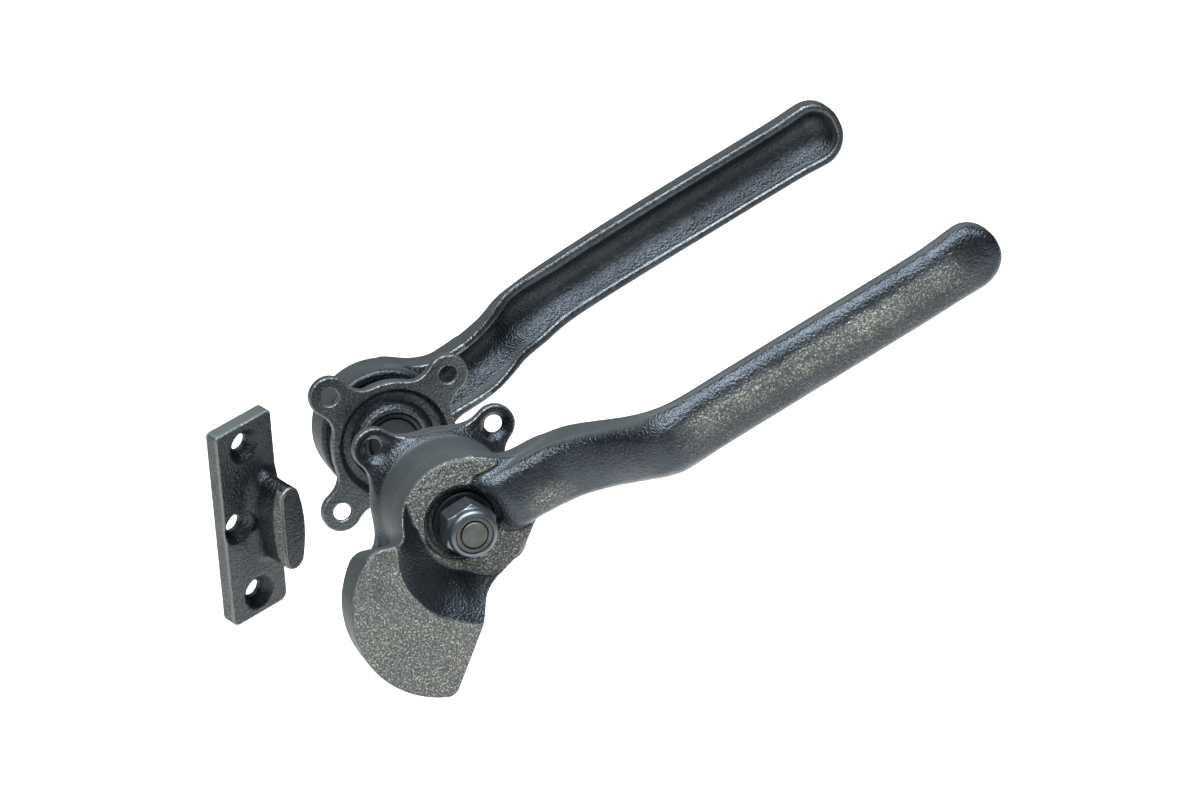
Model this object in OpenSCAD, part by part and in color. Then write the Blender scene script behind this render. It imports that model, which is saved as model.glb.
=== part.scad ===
// Double-handled cast door latch: two lever handles on one spindle, two four-eared
// rosettes that clamp a door leaf between them, and a separate screw-on keeper.
// +Z up, +X along the door towards the handle ends, +Y through the door away from the
// cam. The origin is on the spindle axis, in the mounting face of the cam side rosette.

/* [Door] */
// Thickness of the door leaf between the two rosettes
door_t = 60; // [45:1:75]

/* [Rosettes] */
// Spacing of the four screw holes, a square
ear_pitch = 48; // [46:1:52]
// Radius of the round end of each ear
ear_r = 8.2; // [7.5:0.1:9]
// Thickness of the ears
ear_t = 3.5; // [3:0.1:4.2]
// Radius of the screw holes
screw_r = 3.5; // [2.5:0.1:3.6]
// Radius of the round body between the ears
rosette_r = 24.8; // [24:0.1:25.5]
// Radius of the concave sides between ear and body, cam side
cam_ear_fillet_r = 22; // [16:0.5:26]
// Radius of the concave sides between ear and body, plain side
plain_ear_fillet_r = 11; // [10:0.5:12]
// Radius of the hollow on the door side
hollow_r = 22.4; // [21:0.1:22.8]
// Height of the cam side crown above the door
cam_crown_h = 24.3; // [20:0.1:26]
// Height of the plain side crown above the door
plain_crown_h = 7.3; // [7:0.1:9]
// Height of the neck that carries the plain handle, above the door
plain_neck_h = 13.2; // [12.5:0.1:14]
// Wall of the crowns
crown_wall = 3.2; // [2.8:0.1:3.6]
// Radius of the collar round the spindle
collar_r = 15; // [14:0.5:16]

/* [Spindle and nut] */
// Radius of the round journal of the spindle
journal_r = 9.5; // [8:0.5:10]
// Side of the square drives at both ends of the journal
drive_side = 13; // [12:0.5:13]
// Radius of the thread
thread_r = 6; // [5:0.5:6]
// Width of the lock nut across flats
nut_af = 19; // [18:0.5:19]
// Height of the lock nut with its collar
nut_h = 14; // [12:0.5:15]
// Radius of the washer
washer_r = 12; // [11:0.5:12]
// Thickness of the washer
washer_t = 2.5; // [2:0.1:3]

/* [Handles] */
// Distance from the spindle axis to the tip of each handle
handle_reach = 223.3; // [190:0.1:240]
// Angle of the handles above +X in the stored pose
handle_angle = 21.7; // [0:0.1:45]
// Radius of both handle hubs
hub_r = 26; // [25.5:0.1:27]
// Width of the grip at its open rim
grip_w = 25.4; // [23:0.2:27]
// Depth of the grip, from open rim to crown
grip_d = 12.5; // [11:0.5:14]
// Wall of the grip
grip_wall = 3.4; // [3:0.1:4]
// Thickness of the cam handle hub
cam_hub_t = 10.5; // [9:0.5:12]
// Depth of the plain handle hub, which is a cup
plain_hub_t = 17.5; // [16:0.5:19]

/* [Cam] */
// Thickness of the cam
cam_t = 15; // [12:0.5:16]
// How far the cam face stands in front of the hub face
cam_rise = 14; // [12:0.5:15]
// Radius of the cam outline
cam_r = 38; // [36:0.5:39]

/* [Keeper] */
// Width of the keeper plate
keeper_w = 27; // [26:0.5:30]
// Height of the keeper plate
keeper_h = 88; // [84:1:92]
// Thickness of the keeper plate
keeper_t = 6; // [5:0.5:7]
// Height of the lug above the plate
lug_h = 16; // [12:0.5:16]
// Spacing of the two outer keeper screws
keeper_pitch = 68; // [64:1:70]

/* [Hidden] */
$fn = 64;
over = 1;
far = 80;
axial_play = 0.2;
// bushes: pressed in the rosettes, running on the journal
running_fit = 0.06;
bush_r = journal_r + 2.2;
bush_mouth = 0.8;
collar_back = 12.2;
collar_foot = 0.5;
collar_edge = 2;
crown_edge = 1;
// hub levels, measured from the mounting face of the nearer rosette
cam_hub_back = cam_crown_h + axial_play;
cam_hub_face = cam_hub_back + cam_hub_t;
plain_hub_back = plain_neck_h + axial_play;
plain_hub_face = plain_hub_back + plain_hub_t;
plain_floor_t = 5;
drive_depth = 2;
cup_wall = 3.5;
hub_edge_r = 2;
boss_r = 13.5;
spot_depth = 2.5;
spot_r = washer_r + 0.6;
washer_seat = cam_hub_face - spot_depth;
nut_seat = washer_seat + washer_t;
nut_end = nut_seat + nut_h;
nut_turn = 24;
drive_fit = 0.05;
drive_corner_r = journal_r - 0.4;
drive_gap = 0.3;
dog_r = 5;
dog_l = 2.2;
dog_edge = 0.3;
washer_fit = 0.5;
thread_fit = 0.02;
// lock nut: chamfers of the hexagon, and a round collar for the insert
nut_hex_h = nut_h - 4;
nut_corner_r = nut_af / 2 + 1.5;
nut_foot = 0.9;
nut_top = 1.5;
nut_top_r = nut_af / 2 - 0.6;
nut_collar_r = nut_af / 2 - 0.3;
nut_collar_edge = 2;
insert_r = nut_collar_r - 1.7;
insert_t = 3.2;
insert_sunk = 0.3;
// countersinks at 90 degrees
ear_sink = 2;
keeper_sink = 3.5;
// grip levels: the open rim beside the hub and along the straight grip
cam_rim_low = cam_hub_back + 3.8;
cam_rim_high = 63.7;
plain_rim_low = plain_hub_back + 6.5;
plain_rim_high = 44.5;
// both grips are cranked: a bend away from the door, a slope and a bend back
cam_bend_start = 38;
plain_bend_start = 43;
bend_in_r = 22;
bend_out_r = 16;
slope = 50;
grip_root = 14;
void_root = 4;
// how far the straight lengths run into the bends, and how much smaller they are
lap = 0.3;
hair = 0.02;
grip_edge_r = 5;
grip_draft = 0.6;
void_edge_r = 4.2;
void_draft = 0.4;
tip_corner_r = 8;
// cam outline: an eccentric disc cut by two edges
cam_centre = [-12.5, -25];
cam_cut = [[-60, 0.5], [-22, 1.5], [0, 0], [5.2, -26.6], [0.3, -36.4], [-14.2, -64.6], [-60, -70]];
cam_slope_in = 15;
cam_slope_out = 33;
cam_back_out = 37;
// keeper placing: centre of its back face, and its turn
keeper_at = [-79, -9.5, 11.3];
keeper_turn = [12.4, -8.1, 23.9];
keeper_corner_r = 3.5;
keeper_mid_screw = -6.4;
lug_back_x = 0.2;
lug_front_x = 12.8;
lug_back_r = 60;
lug_front_r = 30;
lug_w = 38;
lug_bevel_w = 2.4;
lug_bevel_h = 4;

iron = [0.53, 0.55, 0.57];
iron_light = [0.60, 0.62, 0.63];
steel = [0.66, 0.68, 0.70];
nylon = [0.62, 0.62, 0.60];

// ---- placing: local y up, z out of the door on either side ----
module cam_side() rotate([90, 0, 0]) children();

module plain_side() translate([0, door_t, 0]) rotate([90, 0, 180]) children();

// ---- rosettes ----
function fillet_at(side, fillet) =
    let (ear = ear_pitch / sqrt(2), reach = fillet + rosette_r, gap = fillet + ear_r)
    let (turn = acos((reach * reach + ear * ear - gap * gap) / (2 * reach * ear)))
    [reach * cos(45 + side * turn), reach * sin(45 + side * turn)];

module ear_outline(quarter, fillet) rotate(90 * quarter) {
    ear = [ear_pitch / 2, ear_pitch / 2];
    translate(ear) circle(ear_r);
    difference() {
        polygon([[0, 0], fillet_at(-1, fillet), ear, fillet_at(1, fillet)]);
        translate(fillet_at(-1, fillet)) circle(fillet);
        translate(fillet_at(1, fillet)) circle(fillet);
    }
}

module rosette_plate(fillet) linear_extrude(ear_t) {
    circle(rosette_r);
    for (quarter = [0:3]) ear_outline(quarter, fillet);
}

module screw_holes() for (x = [-1, 1], y = [-1, 1])
    translate([x * ear_pitch / 2, y * ear_pitch / 2, -over]) {
        cylinder(r = screw_r, h = ear_t + 2 * over);
        translate([0, 0, over + ear_t - ear_sink])
            cylinder(r1 = screw_r, r2 = screw_r + ear_sink, h = ear_sink);
        translate([0, 0, over + ear_t]) cylinder(r = screw_r + ear_sink, h = 2 * ear_t);
    }

// a crown with rounded shoulder and a neck, as a profile turned about the spindle axis
module crown(height, shoulder, neck) rotate_extrude() {
    square([rosette_r - shoulder, height]);
    square([rosette_r, height - shoulder]);
    square([boss_r, neck]);
    translate([rosette_r - shoulder, height - shoulder]) circle(shoulder);
}

module cam_side_rosette() color(iron) cam_side() difference() {
    union() {
        rosette_plate(cam_ear_fillet_r);
        crown(cam_crown_h, crown_edge, cam_crown_h);
    }
    screw_holes();
    rotate_extrude() difference() {
        translate([0, -over]) square([hollow_r, cam_crown_h - crown_wall + over]);
        translate([0, collar_back]) square([collar_r, cam_crown_h]);
    }
    translate([0, 0, -over]) cylinder(r = bush_r, h = cam_crown_h + 2 * over);
}

module plain_side_rosette() color(iron) plain_side() difference() {
    union() {
        rosette_plate(plain_ear_fillet_r);
        crown(plain_crown_h, crown_edge, plain_neck_h);
    }
    screw_holes();
    rotate_extrude() difference() {
        translate([0, -over]) square([hollow_r, plain_crown_h - crown_wall + over]);
        polygon([[0, collar_foot], [collar_r - collar_edge, collar_foot],
                 [collar_r, collar_foot + collar_edge], [collar_r, plain_crown_h],
                 [0, plain_crown_h]]);
    }
    translate([0, 0, -over]) cylinder(r = bush_r, h = plain_neck_h + 2 * over);
}

// a plain bearing sleeve between two heights
module bush(from, to) difference() {
    translate([0, 0, from]) cylinder(r = bush_r, h = to - from);
    translate([0, 0, from - over]) cylinder(r = journal_r + running_fit, h = to - from + 2 * over);
    translate([0, 0, from - 0.01])
        cylinder(r1 = journal_r + running_fit + bush_mouth, r2 = journal_r + running_fit,
                 h = bush_mouth);
}

module cam_side_bush() color(steel) cam_side() bush(collar_back, cam_crown_h);

module plain_side_bush() color(steel) plain_side() bush(collar_foot + bush_mouth / 2, plain_neck_h);

// ---- spindle, nut and washer ----
module drive(side, from, to)
    translate([-side / 2, -side / 2, from]) cube([side, side, to - from]);

module spindle() color(steel) {
    cam_side() {
        translate([0, 0, -door_t - plain_hub_back])
            cylinder(r = journal_r, h = door_t + plain_hub_back + cam_hub_back);
        rotate(handle_angle) intersection() {
            drive(drive_side, 0, washer_seat - drive_gap);
            cylinder(r = drive_corner_r, h = washer_seat);
        }
        cylinder(r = thread_r, h = nut_end - dog_l);
        cylinder(r = dog_r, h = nut_end - dog_edge);
        translate([0, 0, nut_end - dog_edge])
            cylinder(r1 = dog_r, r2 = dog_r - dog_edge, h = dog_edge);
    }
    plain_side() rotate(180 - handle_angle) intersection() {
        drive(drive_side, 0, plain_hub_face - plain_floor_t + drive_depth);
        cylinder(r = drive_corner_r, h = plain_hub_face);
    }
}

module nut_washer() color(steel) cam_side() difference() {
    translate([0, 0, washer_seat]) cylinder(r = washer_r, h = washer_t);
    translate([0, 0, washer_seat - over])
        cylinder(r = thread_r + washer_fit, h = washer_t + 2 * over);
}

// hexagon with a chamfered top and bottom under a round collar
module lock_nut() color(iron_light) cam_side() translate([0, 0, nut_seat]) difference() {
    union() {
        intersection() {
            rotate(nut_turn) cylinder(d = nut_af / cos(30), h = nut_hex_h, $fn = 6);
            rotate_extrude() polygon([[0, 0], [nut_af / 2, 0], [nut_corner_r, nut_foot],
                [nut_corner_r, nut_hex_h - nut_top], [nut_top_r, nut_hex_h], [0, nut_hex_h]]);
        }
        rotate_extrude() {
            square([nut_collar_r, nut_h - nut_collar_edge]);
            square([nut_collar_r - nut_collar_edge, nut_h]);
            translate([nut_collar_r - nut_collar_edge, nut_h - nut_collar_edge])
                circle(nut_collar_edge);
        }
    }
    translate([0, 0, -over]) cylinder(r = thread_r + thread_fit, h = nut_h + 2 * over);
    translate([0, 0, nut_h - insert_t]) cylinder(r = insert_r, h = insert_t + over);
}

module nut_insert() color(nylon) cam_side() translate([0, 0, nut_seat]) difference() {
    translate([0, 0, nut_h - insert_t]) cylinder(r = insert_r, h = insert_t - insert_sunk);
    translate([0, 0, nut_h - insert_t - over]) cylinder(r = thread_r + thread_fit, h = nut_h);
}

// ---- handles ----
// grip section: x across, y from the open rim to the crown. The straight lengths are drawn
// inset by a hair, so that their ends run into the bends inside the bends' own surfaces.
module grip_outer(inset = 0) {
    half = grip_w / 2 - inset;
    top = grip_d - inset;
    edge_x = half - grip_draft - grip_edge_r;
    polygon([[-half, inset], [half, inset], [half - grip_draft, top - grip_edge_r],
             [grip_draft - half, top - grip_edge_r]]);
    translate([-edge_x, inset]) square([2 * edge_x, top - inset]);
    for (side = [-1, 1]) intersection() {
        translate([side * edge_x, top - grip_edge_r]) circle(grip_edge_r);
        translate([-half, inset]) square([2 * half, top]);
    }
}

module grip_void(inset = 0) {
    half = grip_w / 2 - grip_wall - inset;
    top = grip_d - grip_wall - inset;
    void_x = half - void_draft - void_edge_r;
    polygon([[-half, -over], [half, -over], [half - void_draft, top - void_edge_r],
             [void_draft - half, top - void_edge_r]]);
    translate([-void_x, -over]) square([2 * void_x, top + over]);
    for (side = [-1, 1]) translate([side * void_x, top - void_edge_r]) circle(void_edge_r);
}

// the section pushed along +x
module along(length) rotate([90, 0, 90]) linear_extrude(length) children();

// the section turned through an angle, away from or towards the door
module bend_away(radius, angle)
    translate([0, 0, radius]) rotate([90, 0, 0]) rotate(-90)
        rotate_extrude(angle = angle) rotate(90) translate([0, -radius]) children();

module bend_back(radius, angle)
    translate([0, 0, -radius]) rotate([90, 0, 0]) rotate(90)
        rotate_extrude(angle = angle) rotate(-90) translate([0, radius]) children();

// length of the slope between the bends
function slope_run(rise) =
    (rise - (bend_in_r + bend_out_r) * (1 - cos(slope))) / sin(slope);

function crank_end(start, rise) = start + (bend_in_r + bend_out_r) * sin(slope)
    + slope_run(rise) * cos(slope);

// root, bend, slope, bend: everything but the straight grip. The first child is the section
// of the bends and the second one that of the straight lengths.
module crank(root, start, rise) {
    slope_at = [start + bend_in_r * sin(slope), 0, bend_in_r * (1 - cos(slope))];
    translate([root, 0, 0]) along(start - root + lap) children(1);
    translate([start, 0, 0]) bend_away(bend_in_r, slope) children(0);
    translate(slope_at) rotate([0, -slope, 0]) translate([-lap, 0, 0])
        along(slope_run(rise) + 2 * lap) children(1);
    translate([crank_end(start, rise), 0, rise]) bend_back(bend_out_r, slope) children(0);
}

// plan of the grip end, with two round corners
module tip_plan(reach, half, corner) {
    translate([0, -half]) square([reach - corner, 2 * half]);
    translate([0, corner - half]) square([reach, 2 * (half - corner)]);
    for (side = [-1, 1]) translate([reach - corner, side * (half - corner)]) circle(corner);
}

// side view of the grip end, rounded at the crown
module tip_side(reach, depth, corner) {
    translate([0, -2 * over]) square([reach - corner, depth + 2 * over]);
    translate([0, -2 * over]) square([reach, depth - corner + 2 * over]);
    translate([reach - corner, depth - corner]) circle(corner);
}

module grip_straight(from, inset, half, depth, corner) intersection() {
    translate([from - lap, 0, 0]) along(handle_reach - from + lap) children();
    translate([0, 0, -2 * over])
        linear_extrude(grip_d + 4 * over) tip_plan(handle_reach - inset, half, corner);
    rotate([90, 0, 0]) linear_extrude(2 * grip_w, center = true)
        tip_side(handle_reach - inset, depth, corner);
}

module arm_solid(start, rise) {
    crank(grip_root, start, rise) {
        grip_outer();
        grip_outer(hair);
    }
    translate([0, 0, rise])
        grip_straight(crank_end(start, rise), 0, grip_w / 2, grip_d, tip_corner_r)
            grip_outer(hair);
}

module arm_void(root, start, rise) {
    crank(root, start, rise) {
        grip_void();
        grip_void(hair);
    }
    translate([0, 0, rise])
        grip_straight(crank_end(start, rise), grip_wall, grip_w / 2 - grip_wall,
                      grip_d - grip_wall, tip_corner_r - grip_wall) grip_void(hair);
}

// cam outline: the disc between its two cut edges
module cam_plan() intersection() {
    translate(cam_centre) circle(cam_r);
    polygon(cam_cut);
}

// cam thickness: a profile turned about the spindle axis
module cam_section() rotate_extrude() polygon([
    [0, cam_hub_back], [hub_r, cam_hub_back], [cam_back_out, cam_hub_face + cam_rise - cam_t],
    [far, cam_hub_face + cam_rise - cam_t], [far, cam_hub_face + cam_rise],
    [cam_slope_out, cam_hub_face + cam_rise], [cam_slope_in, cam_hub_face], [0, cam_hub_face]]);

module cam_handle() color(iron) cam_side() difference() {
    union() {
        translate([0, 0, cam_hub_back]) cylinder(r = hub_r, h = cam_hub_t);
        intersection() {
            cam_section();
            translate([0, 0, cam_hub_back]) linear_extrude(far) cam_plan();
        }
        rotate(handle_angle) translate([0, 0, cam_rim_low])
            arm_solid(cam_bend_start, cam_rim_high - cam_rim_low);
    }
    rotate(handle_angle) {
        translate([0, 0, cam_rim_low])
            arm_void(hub_r + void_root, cam_bend_start, cam_rim_high - cam_rim_low);
        intersection() {
            drive(drive_side + 2 * drive_fit, 0, cam_hub_face);
            cylinder(r = drive_corner_r + drive_fit, h = cam_hub_face);
        }
    }
    translate([0, 0, washer_seat]) cylinder(r = spot_r, h = far);
}

// hub of the plain handle, with a rounded outer edge
module plain_cup() rotate_extrude() translate([0, plain_hub_back]) {
    square([hub_r, plain_hub_t - hub_edge_r]);
    square([hub_r - hub_edge_r, plain_hub_t]);
    translate([hub_r - hub_edge_r, plain_hub_t - hub_edge_r]) circle(hub_edge_r);
}

module plain_handle() color(iron) plain_side() difference() {
    union() {
        plain_cup();
        rotate(180 - handle_angle) translate([0, 0, plain_rim_low])
            arm_solid(plain_bend_start, plain_rim_high - plain_rim_low);
    }
    rotate_extrude() translate([boss_r, plain_hub_back - over])
        square([hub_r - cup_wall - boss_r, plain_hub_t - plain_floor_t + over]);
    rotate(180 - handle_angle) {
        translate([0, 0, plain_rim_low])
            arm_void(boss_r + void_root, plain_bend_start, plain_rim_high - plain_rim_low);
        intersection() {
            drive(drive_side + 2 * drive_fit, 0,
                  plain_hub_face - plain_floor_t + drive_depth + drive_gap);
            cylinder(r = drive_corner_r + drive_fit, h = plain_hub_face);
        }
    }
}

// ---- keeper: a screw plate with a bevelled lug, local -y is its front ----
module keeper_plate() linear_extrude(keeper_t) {
    square([keeper_w, keeper_h - 2 * keeper_corner_r], center = true);
    square([keeper_w - 2 * keeper_corner_r, keeper_h], center = true);
    for (x = [-1, 1], y = [-1, 1])
        translate([x * (keeper_w / 2 - keeper_corner_r), y * (keeper_h / 2 - keeper_corner_r)])
            circle(keeper_corner_r);
}

module lug() difference() {
    translate([0, 0, keeper_t / 2]) linear_extrude(keeper_t / 2 + lug_h) intersection() {
        translate([lug_front_x - lug_front_r, 0]) circle(lug_front_r);
        translate([lug_back_x + lug_back_r, 0]) circle(lug_back_r);
        square([2 * lug_front_x, lug_w], center = true);
    }
    translate([0, 0, keeper_t + lug_h]) rotate([90, 0, 0]) linear_extrude(far, center = true)
        polygon([[-lug_front_x, over], [lug_back_x + lug_bevel_w, over],
                 [lug_back_x + lug_bevel_w, 0], [lug_back_x, -lug_bevel_h],
                 [-lug_front_x, -lug_bevel_h]]);
}

module keeper_hole(x, y) translate([x, y, -over]) {
    cylinder(r = screw_r, h = keeper_t + 2 * over);
    translate([0, 0, over + keeper_t - keeper_sink])
        cylinder(r1 = screw_r, r2 = screw_r + keeper_sink, h = keeper_sink);
    translate([0, 0, over + keeper_t]) cylinder(r = screw_r + keeper_sink, h = lug_h);
}

module keeper() color(iron) translate(keeper_at) rotate(keeper_turn) cam_side() difference() {
    union() {
        keeper_plate();
        lug();
    }
    keeper_hole(0, keeper_pitch / 2);
    keeper_hole(0, -keeper_pitch / 2);
    keeper_hole(keeper_mid_screw, 0);
}

cam_side_rosette();
plain_side_rosette();
cam_side_bush();
plain_side_bush();
spindle();
cam_handle();
plain_handle();
nut_washer();
lock_nut();
nut_insert();
keeper();
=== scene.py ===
"""Looks of the double-handled door latch: cast pieces meshed from blended solids, machined
pieces turned from profiles, procedural finishes. Lengths in the shape code are millimetres."""
import math

import bpy
import numpy as np
from mathutils import Matrix, Vector


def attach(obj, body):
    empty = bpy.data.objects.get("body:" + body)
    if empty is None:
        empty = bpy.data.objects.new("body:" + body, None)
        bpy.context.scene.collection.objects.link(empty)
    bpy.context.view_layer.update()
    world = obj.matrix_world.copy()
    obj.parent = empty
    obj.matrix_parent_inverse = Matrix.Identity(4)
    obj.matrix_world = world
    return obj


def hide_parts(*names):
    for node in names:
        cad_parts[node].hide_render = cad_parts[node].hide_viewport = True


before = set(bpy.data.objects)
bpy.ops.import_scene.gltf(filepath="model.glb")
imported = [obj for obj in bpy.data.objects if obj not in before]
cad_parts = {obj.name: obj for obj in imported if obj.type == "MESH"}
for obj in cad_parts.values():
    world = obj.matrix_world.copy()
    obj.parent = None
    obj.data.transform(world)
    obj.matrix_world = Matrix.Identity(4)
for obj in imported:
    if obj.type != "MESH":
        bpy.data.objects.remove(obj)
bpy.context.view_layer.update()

MM = 0.001
FINE = 1.0
TURN = math.radians(21.7)  # how far both grips rise above +X
DOOR = 60.0  # door thickness, from one rosette's seat to the other's
COS, SIN = math.cos(TURN), math.sin(TURN)

# Local axes of each side in the shared frame, as matrices whose columns are the local x, the
# local y and the way out of the door. An arm's own x runs along its grip.
CAM_SIDE = np.array([[1, 0, 0], [0, 0, -1], [0, 1, 0]], float)
PLAIN_SIDE = np.array([[-1, 0, 0], [0, 0, 1], [0, 1, 0]], float)
CAM_ARM = np.array([[COS, -SIN, 0], [0, 0, -1], [SIN, COS, 0]], float)
PLAIN_ARM = np.array([[COS, -SIN, 0], [0, 0, 1], [SIN, COS, 0]], float)
AT_DOOR = np.array([0, DOOR, 0], float)


# ---- solids as distance fields ----
def rounded_max(a, b, r):
    """Both at once, with the edge between them rounded to radius r."""
    return np.minimum(np.maximum(a, b), -r) + np.sqrt(
        np.maximum(a + r, 0) ** 2 + np.maximum(b + r, 0) ** 2)


def rounded_min(a, b, r):
    """Either one, with a fillet of radius r between them."""
    return -rounded_max(-a, -b, r)


def cut(a, b, r):
    """a without b, with the edge rounded to radius r."""
    return rounded_max(a, -b, r)


SLANT = 0.7071  # turns the rise of a 45 degree cone into a distance


def slab(z, low, high):
    return np.abs(z - (low + high) / 2) - (high - low) / 2


def circle(x, y, cx, cy, r):
    return np.sqrt((x - cx) ** 2 + (y - cy) ** 2) - r


def convex(x, y, points, r):
    """A convex polygon, corners rounded to radius r; the points run anticlockwise."""
    d = None
    for (ax, ay), (bx, by) in zip(points, points[1:] + points[:1]):
        length = math.hypot(bx - ax, by - ay)
        side = ((x - ax) * (by - ay) - (y - ay) * (bx - ax)) / length
        d = side if d is None else rounded_max(d, side, r)
    return d


def spline(points, count=400):
    """A smooth curve through the points, as an array of x and y."""
    p = np.array(points, float)
    s = np.concatenate([[0], np.cumsum(np.hypot(*np.diff(p, axis=0).T))])
    tangent = np.zeros_like(p)
    for k in range(len(p)):
        a, b = max(k - 1, 0), min(k + 1, len(p) - 1)
        tangent[k] = (p[b] - p[a]) / (s[b] - s[a])
    t = np.linspace(0, s[-1], count)
    k = np.clip(np.searchsorted(s, t, side="right") - 1, 0, len(p) - 2)
    h = (s[k + 1] - s[k])[:, None]
    w = ((t - s[k])[:, None]) / h
    return ((2 * w**3 - 3 * w**2 + 1) * p[k] + (w**3 - 2 * w**2 + w) * h * tangent[k]
            + (3 * w**2 - 2 * w**3) * p[k + 1] + (w**3 - w**2) * h * tangent[k + 1])


def curve_distance(x, y, curve):
    """Signed distance on a plane to a curve that runs towards +x: positive above it."""
    x, y = np.broadcast_arrays(x, y)
    best = np.full(x.shape, 1e9)
    signed = np.zeros(x.shape)
    for (ax, ay), (bx, by) in zip(curve[:-1], curve[1:]):
        ux, uy = bx - ax, by - ay
        length2 = ux * ux + uy * uy
        t = np.clip(((x - ax) * ux + (y - ay) * uy) / length2, 0, 1)
        dx, dy = x - ax - t * ux, y - ay - t * uy
        d2 = dx * dx + dy * dy
        nearer = d2 < best
        best = np.where(nearer, d2, best)
        signed = np.where(nearer, ux * (y - ay) - uy * (x - ax), signed)
    return np.sqrt(best) * np.sign(signed)


# ---- noise on points, the same in each run ----
LATTICE_SIZE = 48
LATTICE = np.random.default_rng(7).random((LATTICE_SIZE,) * 3).astype(np.float32)


def noise(points, size, shift=0.0):
    """Smooth random values from -1 to 1 with features about size millimetres long."""
    p = points / size + shift
    i = np.floor(p).astype(int)
    f = p - i
    f = f * f * (3 - 2 * f)
    total = np.zeros(len(p))
    for corner in range(8):
        o = np.array([corner & 1, corner >> 1 & 1, corner >> 2 & 1])
        q = (i + o) % LATTICE_SIZE
        w = np.prod(np.where(o == 1, f, 1 - f), axis=1)
        total += w * LATTICE[q[:, 0], q[:, 1], q[:, 2]]
    return 2 * total - 1


# ---- a mesh from a field ----
def sample(field, p):
    """The field at fractional grid places, kept just inside the last cell."""
    top = np.array(field.shape) - 1.001
    p = np.clip(p, 0, top)
    i = p.astype(int)
    f = p - i
    total = np.zeros(len(p))
    for corner in range(8):
        o = np.array([corner & 1, corner >> 1 & 1, corner >> 2 & 1])
        w = np.prod(np.where(o == 1, f, 1 - f), axis=1)
        total += w * field[i[:, 0] + o[0], i[:, 1] + o[1], i[:, 2] + o[2]]
    return total


def slope_of(field, p, reach=0.6):
    """The field's slope, from places reach grid steps to either side."""
    return np.stack([sample(field, p + reach * e) - sample(field, p - reach * e)
                     for e in np.eye(3)], axis=1) / (2 * reach)


def surface(field):
    """Places (in grid steps) and quads of the field's zero surface."""
    inside = field < 0
    nx, ny, nz = field.shape
    total = np.zeros((nx - 1, ny - 1, nz - 1), np.uint8)
    for i in (0, 1):
        for j in (0, 1):
            for k in (0, 1):
                total += inside[i:nx - 1 + i, j:ny - 1 + j, k:nz - 1 + k]
    crossed = (total > 0) & (total < 8)
    cells = np.argwhere(crossed)
    number = np.full(crossed.shape, -1, np.int64)
    number[crossed] = np.arange(len(cells))
    points = np.zeros((len(cells), 3))
    count = np.zeros(len(cells))
    corners = [np.array([i, j, k]) for i in (0, 1) for j in (0, 1) for k in (0, 1)]
    for a in corners:
        for b in corners:
            if (b - a).sum() != 1 or (b - a).min() < 0:
                continue
            fa = field[tuple((cells + a).T)].astype(float)
            fb = field[tuple((cells + b).T)].astype(float)
            hit = (fa < 0) != (fb < 0)
            t = fa[hit] / (fa[hit] - fb[hit])
            points[hit] += a + t[:, None] * (b - a)
            count[hit] += 1
    points = cells + points / count[:, None]
    quads = []
    for axis in range(3):
        one = np.zeros(3, int)
        one[axis] = 1
        low = inside[tuple(slice(0, n - o) for n, o in zip(inside.shape, one))]
        high = inside[tuple(slice(o, n) for n, o in zip(inside.shape, one))]
        edges = np.argwhere(low != high)
        leaving = low[tuple(edges.T)]
        b, c = [e for e in np.eye(3, dtype=int) if e[axis] == 0]
        if axis == 1:
            b, c = c, b
        ring = [edges - b - c, edges - c, edges, edges - b]
        ids = np.stack([number[tuple(r.T)] for r in ring], axis=1)
        ids[~leaving] = ids[~leaving][:, ::-1]
        quads.append(ids)
    return points, np.concatenate(quads)


def add_mesh(name, points, faces, place, at, material):
    """An object from points in local millimetres and faces as rows of point numbers."""
    if np.linalg.det(place) < 0:
        faces = faces[:, ::-1]
    shared = (points @ place.T + at) * MM
    mesh = bpy.data.meshes.new(name)
    mesh.from_pydata(shared.tolist(), [], faces.tolist())
    mesh.polygons.foreach_set("use_smooth", [True] * len(mesh.polygons))
    mesh.validate()
    mesh.update()
    obj = bpy.data.objects.new(name, mesh)
    bpy.context.scene.collection.objects.link(obj)
    mesh.materials.append(material)
    return obj


def fade(value, low, high):
    """0 up to low, 1 from high on, smooth between."""
    t = np.clip((value - low) / (high - low), 0, 1)
    return t * t * (3 - 2 * t)


SETTLE_ROUNDS, SETTLE_LIMIT = 3, 0.4  # moves onto the zero surface, each in grid steps
BEND_REACH = 1.2  # how far to either side the skin's bend is measured, in millimetres


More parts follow.
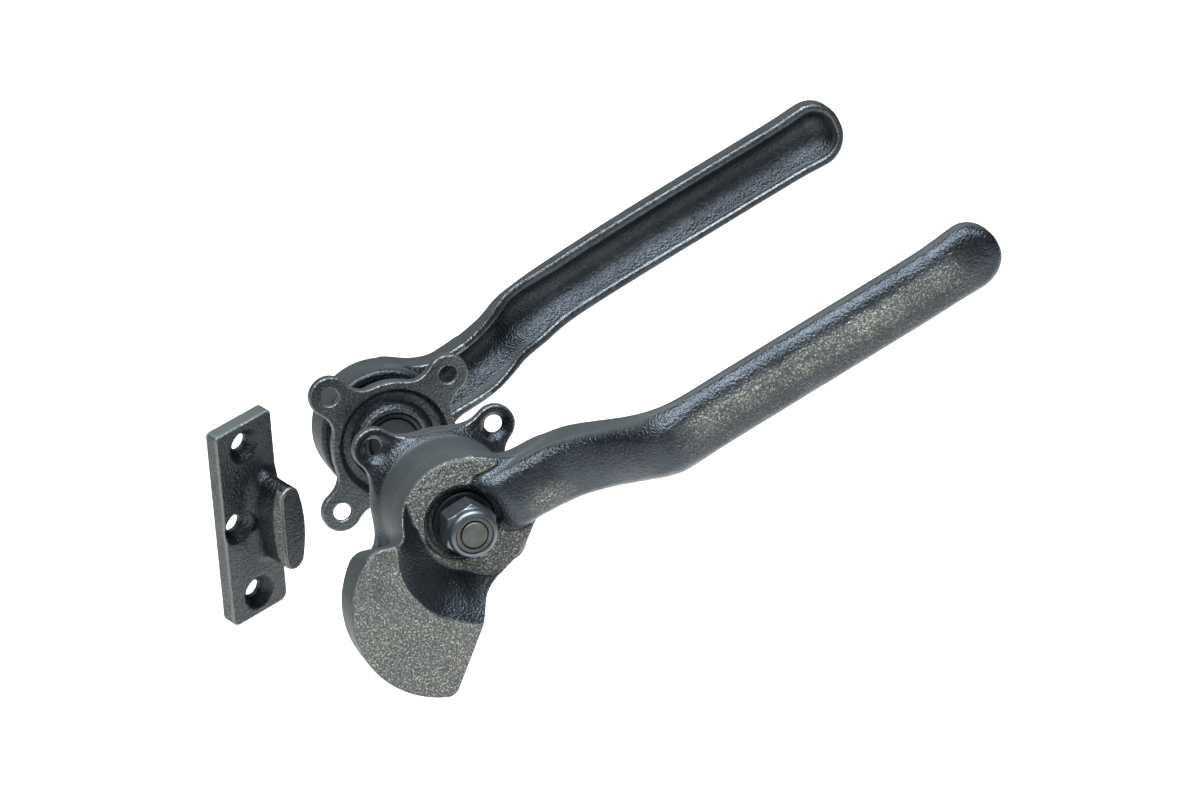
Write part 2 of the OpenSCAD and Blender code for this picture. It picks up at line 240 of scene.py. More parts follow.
def cast(name, low, high, step, shape, place, at, material, waviness=0.05, sand=None,
         lit_walls=None):
    """Meshes shape(x, y, z), a distance field in local millimetres, and roughens its skin.
    sand(points, normals) tells where the skin is sandy; elsewhere it's smooth. The wall mask
    function tells where upright walls get the lighter painted sheen: everywhere if it's left
    out."""
    step = step * FINE
    axes = [np.arange(a, b + step, step, dtype=np.float32) for a, b in zip(low, high)]
    x, y, z = axes[0][:, None, None], axes[1][None, :, None], axes[2][None, None, :]
    field = np.ascontiguousarray(np.broadcast_to(
        shape(x, y, z), tuple(len(a) for a in axes))).astype(np.float32)
    points, quads = surface(field)
    for _ in range(SETTLE_ROUNDS):
        g = slope_of(field, points)
        size2 = np.maximum((g**2).sum(1), 1e-6)
        move = -sample(field, points)[:, None] * g / size2[:, None]
        points += np.clip(move, -SETTLE_LIMIT, SETTLE_LIMIT)
    g = slope_of(field, points, 1.0)
    normal = g / np.linalg.norm(g, axis=1)[:, None]
    # how sharply the skin bends, per millimetre: outer edges come out above 0
    bend = np.zeros(len(points))
    reach = BEND_REACH / step
    for e in np.eye(3):
        bend += sample(field, points + reach * e) + sample(field, points - reach * e)
    bend = (bend - 6 * sample(field, points)) / BEND_REACH**2
    local = points * step + np.array(low, float)
    calm = np.clip(1 - np.abs(bend) * 2.5, 0, 1)
    local += normal * (waviness * (0.6 * noise(local, 5.5) + 0.5 * noise(local, 2.3, 9.1)
                                   + 0.35 * calm * noise(local, 1.3, 5.3)))[:, None]
    sandy = np.zeros(len(local)) if sand is None else sand(local, normal)
    sandy = np.clip(sandy * (1 + 0.5 * noise(local, 7.0, 3.7)), 0, 1)
    local += normal * (0.07 * sandy * noise(local, 0.95, 2.2))[:, None]
    # upright walls that aren't sandy: the finish paints them lighter, a painted sheen
    wall = (1 - fade(np.abs(normal[:, 2]), 0.25, 0.5)) * (1 - sandy)
    if lit_walls is not None:
        wall = wall * lit_walls(local)
    obj = add_mesh(name, local, quads, place, at, material)
    for label, values in (("edge", np.clip(bend, -1, 1)), ("sand", sandy), ("wall", wall)):
        attribute = obj.data.attributes.new(label, "FLOAT", "POINT")
        attribute.data.foreach_set("value", values.astype(np.float32))
    return obj


# ---- finishes ----
def vertex_value(tree, label):
    made = tree.nodes.new("ShaderNodeAttribute")
    made.attribute_name = label
    return made.outputs["Fac"]


def ramp(tree, source, stops):
    made = tree.nodes.new("ShaderNodeValToRGB")
    band = made.color_ramp
    while len(band.elements) < len(stops):
        band.elements.new(0.5)
    for element, (place, colour) in zip(band.elements, stops):
        element.position = place
        element.color = (*colour, 1)
    tree.links.new(source, made.inputs[0])
    return made.outputs[0]


def grey(v):
    return (v, v, v)


def mix(tree, factor, a, b):
    """A mix of two colours; each of the three is a socket or a value."""
    made = tree.nodes.new("ShaderNodeMix")
    made.data_type = "RGBA"
    for socket, value in ((made.inputs[0], factor), (made.inputs[6], a), (made.inputs[7], b)):
        if isinstance(value, bpy.types.NodeSocket):
            tree.links.new(value, socket)
        elif isinstance(value, (int, float)):
            socket.default_value = value
        else:
            socket.default_value = (*value, 1)
    return made.outputs[2]


def maths(tree, operation, a, b):
    made = tree.nodes.new("ShaderNodeMath")
    made.operation = operation
    for socket, value in zip(made.inputs, (a, b)):
        if isinstance(value, bpy.types.NodeSocket):
            tree.links.new(value, socket)
        else:
            socket.default_value = value
    return made.outputs[0]


def cloudy(tree, place, scale, detail, roughness):
    made = tree.nodes.new("ShaderNodeTexNoise")
    for label, value in (("Scale", scale), ("Detail", detail), ("Roughness", roughness)):
        made.inputs[label].default_value = value
    tree.links.new(place, made.inputs["Vector"])
    return made.outputs[0]


def bump(tree, height, strength, depth, before=None):
    made = tree.nodes.new("ShaderNodeBump")
    made.inputs["Strength"].default_value = strength
    made.inputs["Distance"].default_value = depth
    tree.links.new(height, made.inputs["Height"])
    if before is not None:
        tree.links.new(before, made.inputs["Normal"])
    return made.outputs[0]


def new_material(name):
    material = bpy.data.materials.new(name)
    material.use_nodes = True
    tree = material.node_tree
    shader = tree.nodes["Principled BSDF"]
    place = tree.nodes.new("ShaderNodeTexCoord").outputs["Object"]
    return material, tree, shader, place


def cast_iron(name, depth=1.0):
    """Blackened cast iron: dark smooth skin, side walls painted lighter as a painted sheen,
    light sandy faces with painted glints on the grain's tops and painted shade in its pits, worn
    edges.
    depth is the smooth skin's share of the usual colour; a share below 1 is a painted shade."""
    material, tree, shader, place = new_material(name)
    link = tree.links.new

    def times(a, b):
        return maths(tree, "MULTIPLY", a, b)

    def plus(a, b):
        return maths(tree, "ADD", a, b)

    edge, sand, wall = (vertex_value(tree, label) for label in ("edge", "sand", "wall"))
    grain = cloudy(tree, place, 1350, 2.0, 0.55)
    peel = cloudy(tree, place, 980, 2.0, 0.55)
    fine = cloudy(tree, place, 3000, 2.0, 0.6)
    cloud = cloudy(tree, place, 55, 3.0, 0.55)
    blotch = ramp(tree, cloud, [(0.35, grey(0)), (0.68, grey(1))])
    dark, light = ([depth * c for c in tone] for tone in ((0.022, 0.027, 0.033),
                                                          (0.035, 0.042, 0.050)))
    skin = mix(tree, blotch, dark, light)
    # upright walls lighter than the skin: painted sheen for the light they catch
    lit_walls = mix(tree, blotch, (0.055, 0.064, 0.068), (0.073, 0.083, 0.087))
    sandy = mix(tree, blotch, (0.074, 0.083, 0.083), (0.104, 0.112, 0.106))
    # darker where the grain is low: painted shade in the sand's pits
    painted_pit_shade = ramp(tree, grain, [(0.36, grey(0.85)), (0.48, grey(0))])
    sandy = mix(tree, painted_pit_shade, sandy, (0.035, 0.038, 0.040))
    # pale tan where the grain is high: painted glints on the sand's tops
    painted_grain_glints = ramp(tree, grain, [(0.54, grey(0)), (0.68, grey(0.7))])
    sandy = mix(tree, painted_grain_glints, sandy, (0.50, 0.47, 0.38))
    colour = mix(tree, sand, mix(tree, wall, skin, lit_walls), sandy)
    worn = ramp(tree, plus(edge, times(fine, 0.5)), [(0.9, grey(0)), (1.25, grey(0.4))])
    link(mix(tree, worn, colour, (0.20, 0.215, 0.22)), shader.inputs["Base Color"])
    link(plus(times(sand, -0.55), 0.88), shader.inputs["Metallic"])
    rough = plus(plus(times(sand, 0.26), times(wall, 0.30)), plus(times(fine, 0.12), 0.28))
    link(rough, shader.inputs["Roughness"])
    smooth = maths(tree, "SUBTRACT", 1.0, sand)
    coarse = cloudy(tree, place, 620, 1.0, 0.5)
    sandbank = times(plus(times(grain, 2.2), times(coarse, 1.8)), sand)
    height = plus(sandbank, times(times(peel, smooth), plus(times(wall, -0.6), 0.8)))
    first = bump(tree, height, 1.0, 0.00065)
    link(bump(tree, fine, 0.4, 0.00008, first), shader.inputs["Normal"])
    return material


def machined(name, base, metal, rough, painted_shade_from=None):
    """Plated or bare turned steel: fine scratches and a faint stain. Beyond the given y, in
    metres, it's darkened as painted shade."""
    material, tree, shader, place = new_material(name)
    link = tree.links.new
    fine = cloudy(tree, place, 1900, 3.0, 0.6)
    stain = cloudy(tree, place, 240, 3.0, 0.6)
    shade = mix(tree, ramp(tree, stain, [(0.35, grey(0)), (0.68, grey(1))]),
                tuple(0.8 * c for c in base), tuple(1.2 * c for c in base))
    if painted_shade_from is not None:
        split = tree.nodes.new("ShaderNodeSeparateXYZ")
        link(place, split.inputs[0])
        inside = maths(tree, "GREATER_THAN", split.outputs[1], painted_shade_from)
        # painted shade: three quarters of the way to near-black beyond that y
        shade = mix(tree, maths(tree, "MULTIPLY", inside, 0.75), shade, (0.006, 0.008, 0.012))
    link(shade, shader.inputs["Base Color"])
    link(maths(tree, "ADD", maths(tree, "MULTIPLY", fine, 0.16), rough - 0.08),
         shader.inputs["Roughness"])
    shader.inputs["Metallic"].default_value = metal
    link(bump(tree, fine, 0.35, 0.00005), shader.inputs["Normal"])
    return material


IRON = cast_iron("cast_iron")
# the keeper's cast iron with its skin at 0.7 of the usual colour: painted shade
SHADED_KEEPER_IRON = cast_iron("shaded_keeper_iron", 0.7)
# painted shade on the spindle past its end face, where it runs through the nut, hubs and
# rosettes
STEEL = machined("spindle_steel", (0.062, 0.066, 0.062), 0.55, 0.5, painted_shade_from=-0.045)
BUSH_STEEL = machined("bush_steel", (0.040, 0.045, 0.052), 0.85, 0.38)
NUT_STEEL = machined("nut_steel", (0.086, 0.101, 0.117), 0.85, 0.38)
# the washer darkened well past its steel's colour: painted shade in the gap under the nut
SHADED_WASHER_STEEL = machined("shaded_washer_steel", (0.012, 0.014, 0.017), 0.9, 0.6)
NYLON = machined("insert_nylon", (0.044, 0.045, 0.043), 0.0, 0.5)


# ---- rosettes ----
EAR = 24.0  # a screw's distance from the axis, along x and along y
EAR_R, BODY_R = 8.2, 24.8
EAR_T = 3.5  # thickness of the ears
SCREW_R, SINK = 3.5, 2.3  # the hole, and how much wider its countersink is
BUSH_R = 11.7  # the bore that holds the bush


def rosette_plan(x, y, fillet):
    """Round body with four ears, concave between them."""
    far = EAR * math.sqrt(2)
    reach, gap = fillet + BODY_R, fillet + EAR_R
    turn = math.acos((reach**2 + far**2 - gap**2) / (2 * reach * far))
    d = np.sqrt(x**2 + y**2) - BODY_R
    ax, ay = np.abs(x), np.abs(y)
    ear = circle(ax, ay, EAR, EAR, EAR_R)
    f1 = (reach * math.cos(math.pi / 4 - turn), reach * math.sin(math.pi / 4 - turn))
    f2 = (f1[1], f1[0])
    web = convex(ax, ay, [(0.0, 0.0), f1, (EAR, EAR), f2], 0.01)
    web = np.maximum(web, fillet - np.sqrt((ax - f1[0])**2 + (ay - f1[1])**2))
    web = np.maximum(web, fillet - np.sqrt((ax - f2[0])**2 + (ay - f2[1])**2))
    return np.minimum(np.minimum(d, ear), web)


def screw_hole(x, y, z):
    """Screw hole in an ear, with a countersink from its front."""
    r = circle(np.abs(x), np.abs(y), EAR, EAR, 0)
    cone = (r - SCREW_R - SINK + np.maximum(EAR_T - z, -0.6)) * SLANT
    return np.minimum(r - SCREW_R, np.maximum(cone, r - 3.6 - SINK))


def cam_side_rosette(x, y, z):
    """Four ears round a tall hollow crown, with a collar inside for the bush."""
    r = np.sqrt(x**2 + y**2)
    plate = rounded_max(rosette_plan(x, y, 22.0), slab(z, 0, EAR_T), 0.4)
    crown = rounded_max(r - 24.9 - 0.03 * (24.3 - z), z - 24.3, 0.8)
    crown = np.maximum(crown, -z)
    d = rounded_min(plate, crown, 7.0)
    d = np.maximum(d, -z)
    d = cut(d, screw_hole(x, y, z), 0.5)
    hollow = np.maximum(r - 22.4, z - 21.1)
    collar = np.maximum(r - 15, 12.2 - z)
    d = cut(d, cut(hollow, collar, 1.2), 0.8)
    return cut(d, r - BUSH_R, 0.3)


def plain_side_rosette(x, y, z):
    """Four ears round a low crown with a neck for the bush, hollow from the door side."""
    r = np.sqrt(x**2 + y**2)
    plate = rounded_max(rosette_plan(x, y, 11.0), slab(z, 0, EAR_T), 0.4)
    crown = np.maximum(rounded_max(r - 24.7, z - 7.3, 1.3), -z)
    neck = np.maximum(rounded_max(r - 13.5, z - 13.2, 0.8), -z)
    d = np.maximum(rounded_min(rounded_min(plate, crown, 2.0), neck, 2.0), -z)
    d = cut(d, screw_hole(x, y, z), 0.4)
    hollow = rounded_max(r - 22.4 + 0.5 * z, z - 4.3, 1.5)
    collar = rounded_max(r - 16.2, 0.5 - z, 3.2)
    d = cut(d, cut(hollow, collar, 1.5), 0.35)
    return cut(d, r - BUSH_R, 1.3)


# ---- handles ----
# side views of both arms as (distance from the axis, height above the door): the rim faces the
# door, the crown is the top of the grip
CAM_RIM = spline([(-10, 27.7), (27, 27.7), (38, 28.6), (51, 33.9), (62, 45.8), (71, 58.2),
                  (78, 64.4), (86, 66.4), (110, 66.4), (240, 66.4)])
CAM_CROWN = spline([(-10, 43.5), (18, 43.5), (30, 44.6), (41, 47.2), (51.6, 54.0),
                    (60.5, 63.0), (69, 72.6), (76, 76.9), (84, 77.2), (95, 76.2), (240, 76.2)])
PLAIN_RIM = spline([(-10, 18.2), (30, 18.3), (39, 18.7), (48, 20.2), (57, 25.8), (65.6, 33.2),
                    (73, 37.4), (87, 40.9), (112, 42.8), (160, 43.2), (240, 43.2)])
PLAIN_CROWN = spline([(-10, 30.9), (30, 31.2), (44, 34.6), (54, 38.8), (65, 47.6), (76, 51.2),
                      (88, 52.6), (114, 54.6), (139, 55.6), (164, 56.0), (240, 56.0)])
REACH, GRIP_WALL = 223.3, 3.4
BEND_AT, BEND_SPREAD = 74, 10.0  # where the grips are wider: at the crank bend
TIP_AT, TIP_SPREAD = 212, 9.0  # and near the tip
DRAFT, DRAFT_DEPTH = 0.025, 14  # the flanks lean in from the rim, down to this depth
HUB_R, SOCKET_HALF, SOCKET_CORNER = 26.0, 6.55, 1.5
HUB_FRONT, CAM_FRONT = 35.0, 49.0  # heights of the cam handle's hub and of its cam
CUP_FRONT = 30.9  # height of the plain handle's hub
DISH_FLOOR = 32.5  # the washer lies here


def arm(u, v, h, rim, crown, void_from, half, tip_r, wall, bowl_r):
    """A cranked grip: a channel between the rim line and the crown line, open to the door.
    Gives the grip's outside, the channel from void_from on, and the distance above the rim."""
    to_rim = curve_distance(u, h, rim)
    to_crown = curve_distance(u, h, crown)
    bend = np.exp(-((u - BEND_AT) / BEND_SPREAD) ** 2)
    half = half + 0.7 * np.exp(-((u - TIP_AT) / TIP_SPREAD) ** 2) + 1.2 * bend
    plan = rounded_max(u - REACH, np.abs(v) - half, tip_r)
    side = plan + DRAFT * np.clip(to_rim, 0, DRAFT_DEPTH)
    dome = to_crown + v**2 / 55.0
    outer = rounded_max(side, dome, 4.0 + 4.0 * bend)
    inner = rounded_max(side + wall, dome + GRIP_WALL, bowl_r)
    inner = rounded_max(inner, void_from - u, 3.0)
    return outer, inner, to_rim


def rotated(u, v):
    """The cam side's x and y of a place in the arm's own axes."""
    return u * COS - v * SIN, u * SIN + v * COS


def square_socket(u, v):
    """The square hole for the spindle."""
    return rounded_max(np.abs(u) - SOCKET_HALF, np.abs(v) - SOCKET_HALF, SOCKET_CORNER)


CAM_CENTRE, CAM_R = (-12.5, -25.0), 38.1
CUT_EDGE = ((-14.2, -64.6), (5.2, -26.6))  # two places on the cam's straight edge


def by_turn(x, y, turns, values):
    """A value that depends on the direction from the spindle axis, in degrees."""
    return np.interp(np.degrees(np.arctan2(y, x)) % 360, turns, values)


def cam_front(x, y):
    """Height of the front surface: hub level inside, the cam's flat outside, a slope between."""
    r = np.sqrt(x**2 + y**2)
    inner = by_turn(x, y, [0, 135, 150, 160, 168, 177, 199, 233, 261, 300, 312, 360],
                    [28, 28, 23.4, 21.0, 19.5, 17.4, 14.8, 14.5, 14.7, 24, 28, 28])
    outer = by_turn(x, y, [0, 150, 160, 168, 180, 203, 224, 241, 255, 271, 300, 360],
                    [45, 42, 35.2, 32.5, 30, 32, 33, 34.6, 35, 37, 42, 45])
    t = np.clip((r - inner) / (outer - inner), 0, 1)
    rise = np.where(t < 0.55, t**1.6 / 0.55**1.6 * 0.5, 1 - ((1 - t) / 0.45) ** 1.25 * 0.5)
    return HUB_FRONT + (CAM_FRONT - HUB_FRONT) * rise


def cam_and_hub(x, y, h):
    """The round hub and the cam beside it, with a straight edge and a sloping top edge."""
    r = np.sqrt(x**2 + y**2)
    (ax, ay), (bx, by) = CUT_EDGE
    length = math.hypot(bx - ax, by - ay)
    right = ((x - ax) * (by - ay) - (y - ay) * (bx - ax)) / length
    top = y - 1.9 + 0.33 * (CAM_FRONT - h)
    outline = rounded_max(circle(x, y, *CAM_CENTRE, CAM_R), top, 3.0)
    outline = rounded_max(outline, right, 3.0)
    plan = rounded_min(r - HUB_R, outline, 4.5)
    back = 24.5 + 9.5 * np.clip((r - 26.5) / 5.0, 0, 1)
    d = rounded_max(plan, (h - cam_front(x, y)) * 0.8, 0.6)
    return rounded_max(d, (back - h) * 0.8, 0.6)


def cam_handle(u, v, h):
    x, y = rotated(u, v)
    d = cam_and_hub(x, y, h)
    across = v - 0.7 * fade(u, 60, 90) - 1.0 * fade(u, 185, 220)
    outer, inner, to_rim = arm(u, across, h, CAM_RIM, CAM_CROWN, void_from=30.0,
                               half=12.9, tip_r=12.2, wall=3.6, bowl_r=5.0)
    start = ((11.2 - u - 0.2 * v) + 0.45 * (h - HUB_FRONT)) * 0.9
    root = rounded_max(outer, start, 5.0)
    root = rounded_max(root, -to_rim, 1.1)
    web = rounded_min(circle(u, v, 0, 0, 25.6), rounded_max(np.abs(v) - 11.9, u - 42, 2), 10.0)
    web = rounded_max(rounded_max(web, h - HUB_FRONT, 1.2), -to_rim, 1.1)
    web = rounded_max(web, 14.0 - u, 1.0)
    d = rounded_min(d, rounded_min(root, web, 2.5), 3.2)
    d = cut(d, inner, 1.1)
    off = circle(x, y, -1.0, 0.5, 0)
    dish = np.maximum((off - 12.5 - 0.6 * (h - DISH_FLOOR)) * 0.86, off - 14.2)
    dish = rounded_max(dish, DISH_FLOOR - h, 0.8)
    d = cut(d, dish, 1.2)
    return np.maximum(d, -square_socket(u, v))


def plain_handle(u, v, h):
    r = np.sqrt(u**2 + v**2)
    cup = rounded_max(r - HUB_R, slab(h, 13.4, CUP_FRONT), 2.0)
    outer, inner, to_rim = arm(u, v, h, PLAIN_RIM, PLAIN_CROWN, void_from=17.0,
                               half=13.2, tip_r=12.0, wall=3.2, bowl_r=9.8)
    root = rounded_max(outer, 10.0 - u, 3.0)
    root = rounded_max(root, -to_rim, 1.7)
    web = rounded_min(circle(u, v, 0, 0, 25.7), rounded_max(np.abs(v) - 12.5, u - 45, 2), 10.0)
    web = rounded_max(rounded_max(web, h - 30.6, 2.0), -to_rim, 1.1)
    web = rounded_max(web, 14.0 - u, 1.0)
    d = rounded_min(cup, rounded_min(root, web, 1.5), 2.5)
    ring = np.maximum(r - 22.5, 13.5 - r)
    d = cut(d, rounded_max(ring, h - 25.9, 1.5), 1.2)
    d = cut(d, inner, 1.1)
    return np.maximum(d, -np.maximum(square_socket(u, v), h - 28.1))


# ---- keeper ----
KEEPER_AT = np.array([-79.0, -9.5, 11.3])
KEEPER_TURN = [math.radians(a) for a in (12.4, -8.1, 23.9)]
KEEPER_HALF_W, KEEPER_HALF_L, KEEPER_T, LUG_TOP = 13.5, 44.0, 6.0, 22.0
KEEPER_SCREWS = ((0, 34.0), (0, -34.0), (-6.4, 0))


def keeper(x, y, z):
    """A plate with a bevelled, lens-shaped lug and three countersunk screw holes."""
    corner = np.where(y > 0, 2.0, 3.5)
    plate = rounded_max(np.abs(x) - KEEPER_HALF_W, np.abs(y) - KEEPER_HALF_L, corner)
    plate = rounded_max(plate, slab(z, 0, KEEPER_T), 0.4)
    lens = np.maximum(circle(x, y, -49.2, 0, 62.0), circle(x, y, 60.2, 0, 60.0))
    lens = rounded_max(lens, np.abs(y) - 18.7, 3.6)
    lug = rounded_max(lens, slab(z, 3.0, LUG_TOP), 0.9)
    lug = rounded_max(lug, ((z - 18.0) - (x - 0.2) * 4.0 / 2.4) * 0.51, 0.8)
    d = rounded_min(plate, lug, 4.5)
    for cx, cy in KEEPER_SCREWS:
        r = circle(x, y, cx, cy, 0)
        cone = (r - 7.0 + np.maximum(KEEPER_T - z, 0)) * SLANT
        hole = np.minimum(np.maximum(r - SCREW_R, z - 9.0), np.maximum(cone, z - 9.0))
        d = cut(d, hole, 0.4)
    return d


def keeper_place():
    """The keeper's local axes in the shared frame."""
    a, b, c = KEEPER_TURN
    spin = Matrix.Rotation(c, 3, "Z") @ Matrix.Rotation(b, 3, "Y") @ Matrix.Rotation(a, 3, "X")
    return np.array(spin) @ CAM_SIDE


# ---- nut ----
NUT_BASE, SHOULDER = 35.0, 46.85  # heights of the nut's seat and of the insert's
NUT_TURN = 54  # direction of a flat, in degrees
HEX_HALF, HEX_H, COLLAR_H = 9.5, 10.0, 14.0


def lock_nut(x, y, z):
    """A hexagon with chamfered corners under a collar that's open for the insert."""
    r = np.sqrt(x**2 + y**2)
    hexagon = None
    for k in range(3):
        a = math.radians(NUT_TURN + 60 * k)
        side = np.abs(x * math.cos(a) + y * math.sin(a)) - HEX_HALF
        hexagon = side if hexagon is None else rounded_max(hexagon, side, 0.25)
    hexagon = rounded_max(hexagon, slab(z, 0, HEX_H), 0.3)
    hexagon = rounded_max(hexagon, (r - 9.7 - (HEX_H - z) * 1.9) * 0.5, 0.25)
    hexagon = rounded_max(hexagon, (r - 9.9 - z * 1.9) * 0.5, 0.25)
    collar = rounded_max(r - 9.4, slab(z, 0, COLLAR_H), 2.1)
    d = rounded_min(hexagon, collar, 0.6)
    seat = np.maximum(r - 7.45, 12.9 - z)
    d = cut(d, seat, 0.15)
    return np.maximum(d, 6.02 - r)


SEGMENTS = 160  # round a turned piece
CORNER_STEPS = 6


def turned(name, profile, place, at, material):
    """A closed profile of (radius, height, corner radius) turned about the spindle axis."""
    ring = []
    n = len(profile)
    for k in range(n):
        r, z, c = profile[k]
        p = np.array([r, z], float)
        if c <= 0:
            ring.append(p)
            continue
        a, b = (np.array(profile[(k + s) % n][:2], float) - p for s in (-1, 1))
        a, b = a / np.linalg.norm(a), b / np.linalg.norm(b)
        half = math.acos(max(-1, min(1, float(a @ b)))) / 2
        centre = p + (a + b) / np.linalg.norm(a + b) * c / math.sin(half)
        start, end = p + a * c / math.tan(half) - centre, p + b * c / math.tan(half) - centre
        for w in np.linspace(0, 1, CORNER_STEPS):
            q = start * (1 - w) + end * w
            ring.append(centre + q / np.linalg.norm(q) * c)
    ring = np.array(ring)
    turn = np.linspace(0, 2 * math.pi, SEGMENTS, endpoint=False)
    points = np.stack([np.outer(np.cos(turn), ring[:, 0]), np.outer(np.sin(turn), ring[:, 0]),
                       np.outer(np.ones(SEGMENTS), ring[:, 1])], axis=2).reshape(-1, 3)
    m = len(ring)
    i, j = np.meshgrid(np.arange(SEGMENTS), np.arange(m), indexing="ij")
    i2, j2 = (i + 1) % SEGMENTS, (j + 1) % m
    faces = np.stack([i * m + j, i2 * m + j, i2 * m + j2, i * m + j2], axis=2).reshape(-1, 4)
    return add_mesh(name, points, faces, place, at, material)


# ---- where the skin is sandy ----
def cam_handle_sand(p, n):
    """Sandy on the hub's and the cam's flat fronts, lightly along the grip and in the dish."""
    u, v, h = p.T
    level = fade(n[:, 2], 0.88, 0.96)
    hub = level * fade(h, 33.6, 34.4) * (1 - fade(h, 35.8, 36.6))
    flat = level * fade(h, 47.5, 48.6) * (1 - fade(u, 18, 22))
    crown = 0.2 * fade(n[:, 2], 0.3, 0.7) * fade(u, 74, 90)
    along = fade(u, 74, 96) * (1 - fade(u, 190, 214))
    band = 0.62 * along * fade(v, -3.5, 0.5) * (1 - fade(v, 4.5, 9))
    grip = (crown + band) * (1 - fade(u, 200, 217)) * (1 - fade(v, 8, 11))
    patch = 0.8 * np.exp(-((u - 33) / 7) ** 2 - ((v + 5) / 5) ** 2) * (n[:, 2] > 0)
    bowl = 0.3 * (1 - fade(np.hypot(u, v), 15.5, 17)) * (1 - fade(h, 34.3, 34.9))
    return np.maximum(np.maximum(hub, flat), np.maximum(np.maximum(grip, patch), bowl))


def level_sand(share):
    """Sandy wherever the skin is square to the casting's draw."""
    return lambda p, n: share * fade(np.abs(n[:, 2]), 0.88, 0.97)


def keeper_sand(p, n):
    """Sandy on the lug's bevel and one long side of the plate, faintly on level skin, with
    less sand round the lug as painted shade.
    """
    x, y, z = p.T
    bevel = 0.42 * fade(-n[:, 0], 0.55, 0.75) * fade(z, 17, 18.5)
    side = 0.3 * fade(-n[:, 0], 0.9, 0.98) * (1 - fade(z, 6, 7))
    # less sand, so darker skin, round the lug: painted shade
    lug_shade = np.exp(-((x + 1) / 9) ** 2 - (y / 20) ** 2)
    plate = level_sand(0.11)(p, n) * (1 - fade(z, 8, 10)) * (1 - 0.85 * lug_shade)
    return np.maximum(np.maximum(bevel, side), np.maximum(plate, level_sand(0.04)(p, n)))


def channel_sand(p, n):
    """A little sand on what faces the door beyond the bend."""
    return 0.08 * fade(-n[:, 2], 0.8, 0.95) * fade(p[:, 0], 60, 80)


HERE = np.zeros(3)
pieces = [
    (cast("cam_side_rosette_casting", (-34, -34, -1), (34, 34, 26), 0.5, cam_side_rosette,
          CAM_SIDE, HERE, IRON, sand=level_sand(0.04)), "cam_side_rosette", "frame_side"),
    (cast("plain_side_rosette_casting", (-34, -34, -1), (34, 34, 15), 0.5, plain_side_rosette,
          PLAIN_SIDE, AT_DOOR, IRON, sand=level_sand(0.20)), "plain_side_rosette",
     "frame_side"),
    (cast("cam_handle_casting", (-60, -57, 23), (226, 30, 79), 0.55, cam_handle,
          CAM_ARM, HERE, IRON, sand=cam_handle_sand), "cam_handle", "turning_unit"),
    (cast("plain_handle_casting", (-28, -29, 12), (226, 29, 60), 0.55, plain_handle,
          PLAIN_ARM, AT_DOOR, IRON, sand=channel_sand), "plain_handle", "turning_unit"),
    (cast("keeper_casting", (-15, -46, -1.2), (15, 46, 24), 0.45, keeper,
          keeper_place(), KEEPER_AT, SHADED_KEEPER_IRON, sand=keeper_sand,
          # only the plate's sides get the painted wall sheen
          lit_walls=lambda p: p[:, 2] < KEEPER_T + 0.2), "keeper", "frame_side"),
    (cast("lock_nut_body", (-12, -12, -0.8), (12, 12, 15), 0.16, lock_nut, CAM_SIDE,
          np.array([0, -NUT_BASE, 0]), NUT_STEEL, 0.0), "lock_nut", "turning_unit"),
    (turned("insert_ring", [(6.05, 45.8, 0.1), (7.15, 45.8, 0), (7.15, 48.4, 0.2),
                            (5.6, 48.4, 0.15), (5.6, SHOULDER, 0.1), (6.05, SHOULDER, 0.1)],
            CAM_SIDE, HERE, NYLON),
     "nut_insert", "turning_unit"),
    (turned("washer", [(6.5, DISH_FLOOR, 0.1), (12.0, DISH_FLOOR, 0.3),
                       (12.0, NUT_BASE, 0.4), (6.5, NUT_BASE, 0.1)],
            CAM_SIDE, HERE, SHADED_WASHER_STEEL),
     "nut_washer", "turning_unit"),
]
for obj, cad_node, body in pieces:
    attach(obj, body)
    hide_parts(cad_node)
for name, material in (("spindle", STEEL), ("cam_side_bush", BUSH_STEEL),
                       ("plain_side_bush", BUSH_STEEL)):
    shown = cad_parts[name]
    shown.data.materials.clear()
    shown.data.materials.append(material)

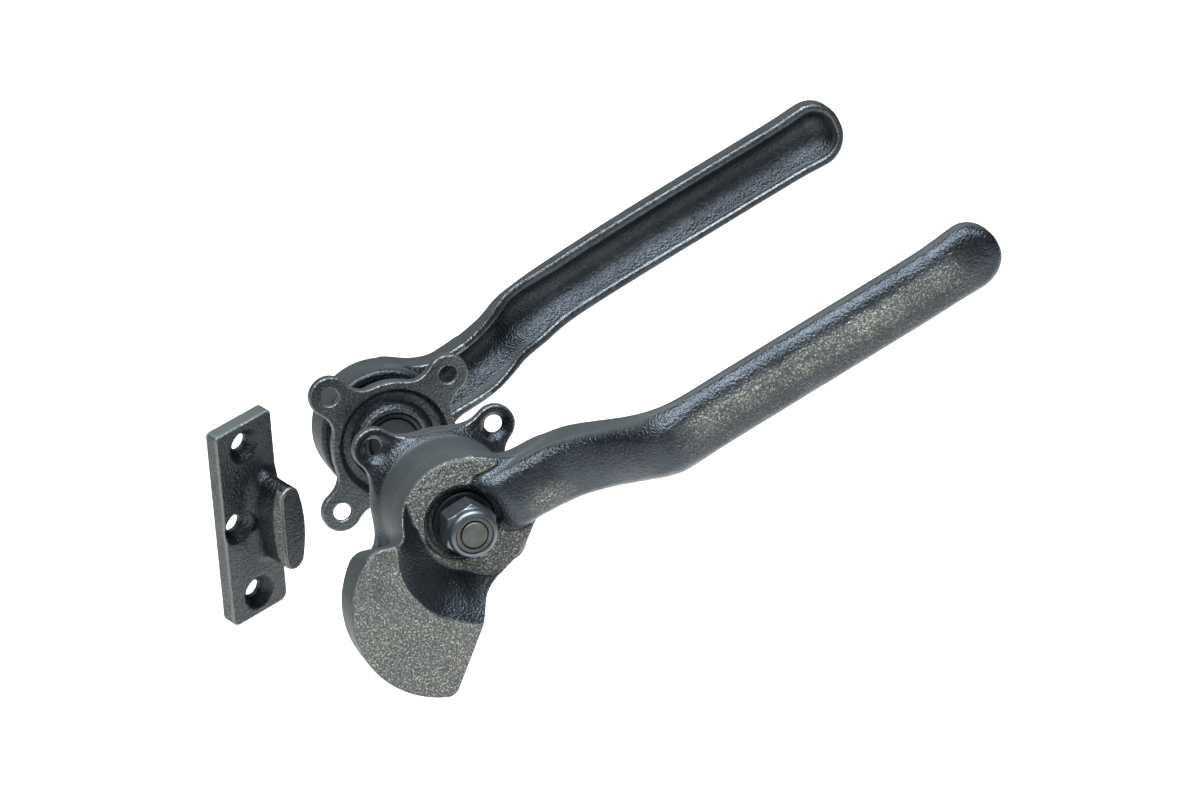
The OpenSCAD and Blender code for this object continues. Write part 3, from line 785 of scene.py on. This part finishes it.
# ---- stage, light, camera ----
bpy.context.scene.view_settings.view_transform = "Standard"
floor_mesh = bpy.data.meshes.new("floor")
FLOOR = 6.0
floor_mesh.from_pydata([(-FLOOR, -FLOOR, 0), (FLOOR, -FLOOR, 0), (FLOOR, FLOOR, 0),
                        (-FLOOR, FLOOR, 0)], [], [(0, 1, 2, 3)])
floor = bpy.data.objects.new("floor", floor_mesh)
floor.location = (0, 2.0, -0.30)
bpy.context.scene.collection.objects.link(floor)
floor_material, _, floor_shader, _ = new_material("pale_floor")
floor_shader.inputs["Base Color"].default_value = (0.93, 0.92, 0.90, 1)
floor_shader.inputs["Roughness"].default_value = 0.9
floor_mesh.materials.append(floor_material)

world = bpy.data.worlds.new("studio")
bpy.context.scene.world = world
world.use_nodes = True
world.node_tree.nodes["Background"].inputs["Color"].default_value = (0.9, 0.95, 1.0, 1)
world.node_tree.nodes["Background"].inputs["Strength"].default_value = 0.12


def softbox(name, at, aim, size, power, colour):
    """A rectangular light at one place that points at another."""
    light = bpy.data.lights.new(name, "AREA")
    light.shape = "RECTANGLE"
    light.size, light.size_y = size
    light.energy = power
    light.color = colour
    obj = bpy.data.objects.new(name, light)
    obj.location = at
    obj.rotation_mode = "QUATERNION"
    obj.rotation_quaternion = (Vector(aim) - Vector(at)).to_track_quat("-Z", "Y")
    bpy.context.scene.collection.objects.link(obj)
    return obj


softbox("overhead", (-0.10, -0.25, 1.15), (-0.10, -0.25, 0), (1.3, 0.45), 46, (0.95, 0.98, 1.0))
softbox("front top", (0.20, -0.75, 1.15), (0.10, -0.05, 0), (1.1, 0.4), 10, (0.95, 0.98, 1.0))
softbox("grazing", (-0.75, -0.60, 1.05), (0.0, 0.0, 0), (0.35, 0.35), 8, (1.0, 0.97, 0.92))
backdrop = softbox("backdrop", (0.2, 1.3, 1.5), (0.2, 1.1, -0.3), (2.4, 1.6), 60,
                   (1.0, 0.99, 0.98))
backdrop.visible_glossy = False

camera_data = bpy.data.cameras.new("camera")
camera_data.lens = 180.0
camera_data.sensor_width = 36.0
camera_data.clip_start, camera_data.clip_end = 0.05, 50.0
camera = bpy.data.objects.new("camera", camera_data)
right, down, ahead = (Vector(v) for v in ((0.94844, -0.30459, -0.08771),
                                          (-0.18549, -0.30896, -0.93281),
                                          (0.25702, 0.90098, -0.34952)))
axes = Matrix((right, -down, -ahead)).transposed()
camera.matrix_world = Matrix.Translation(Vector((-0.52313, -2.06972, 0.82762))) @ axes.to_4x4()
bpy.context.scene.collection.objects.link(camera)
bpy.context.scene.camera = camera
